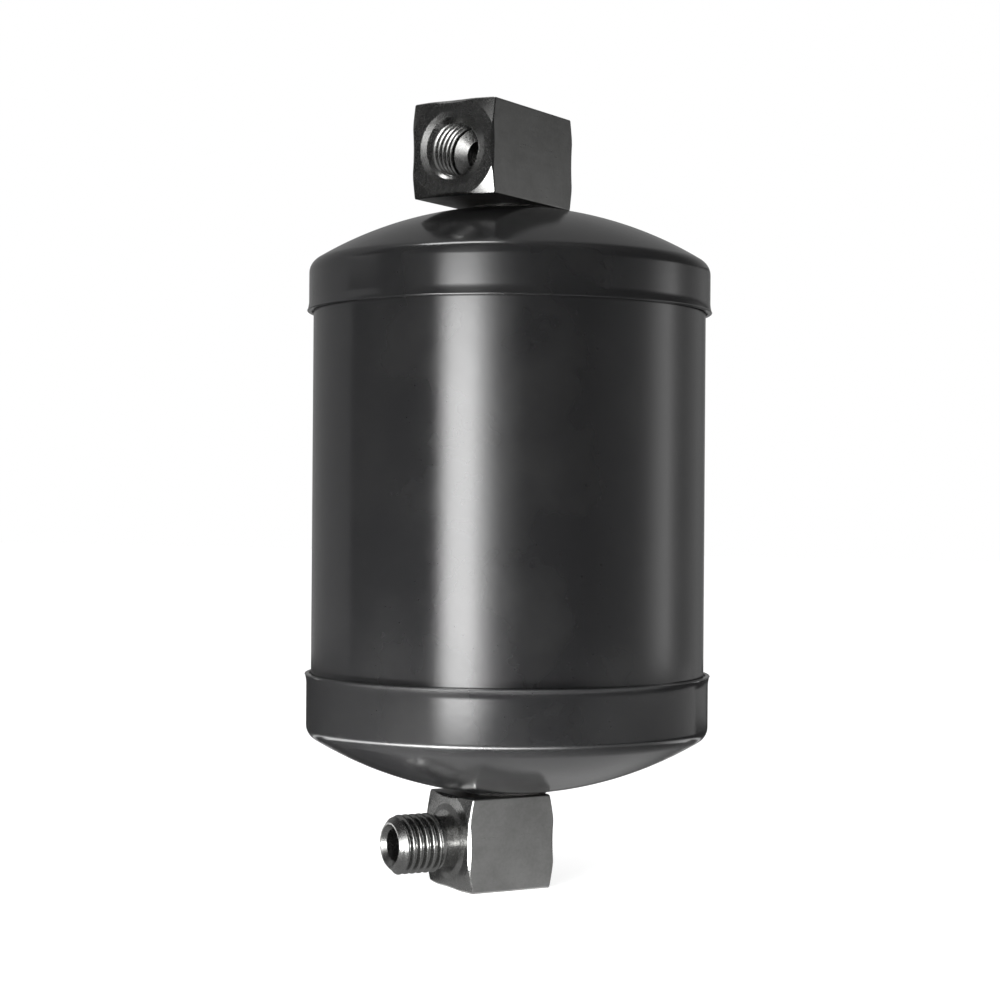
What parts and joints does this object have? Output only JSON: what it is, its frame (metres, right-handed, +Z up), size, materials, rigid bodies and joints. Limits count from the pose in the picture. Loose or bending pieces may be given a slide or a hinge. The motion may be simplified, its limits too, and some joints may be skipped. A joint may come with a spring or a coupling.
{
  "type": "filter drier",
  "caption": "Black steel can with domed caps, a square block with a female threaded inlet on top and a square block with a male threaded outlet below.",
  "frame": {"origin": "on the can's axis, at the outlet block's flat underside", "axes": "+Z up along the can from outlet to inlet, -Y the way the inlet port looks, so +X is on the right of the port seen from in front"},
  "size_m": [0.1116, 0.1116, 0.2114],
  "materials": {
    "black_paint": "satin to semi-gloss black enamel, smooth",
    "bare_steel": "cold-drawn bar with turned faces, satin",
    "braze_metal": "oxidised copper braze, dull",
    "plated_steel": "zinc plated sheet, satin",
    "steel_mesh": "fine woven wire cloth",
    "glass_felt": "needled glass-fibre felt",
    "desiccant_beads": "packed molecular-sieve beads, matte",
    "spring_steel": "drawn wire, lightly oiled"
  },
  "bodies": {
    "root": {"shell": "black_paint", "upper_cap": "black_paint", "lower_cap": "black_paint", "upper_seam_braze": "black_paint", "lower_seam_braze": "black_paint", "inlet_block": "bare_steel", "outlet_block": "bare_steel", "inlet_braze": "braze_metal", "outlet_braze": "braze_metal", "support_ring": "plated_steel", "lower_perforated_plate": "plated_steel", "lower_screen": "steel_mesh", "lower_felt_pad": "glass_felt", "desiccant_bed": "desiccant_beads", "upper_felt_pad": "glass_felt", "upper_screen": "steel_mesh", "upper_perforated_plate": "plated_steel", "bed_spring": "spring_steel", "strainer_collar": "plated_steel", "strainer_mesh": "steel_mesh"}
  },
  "joints": []
}
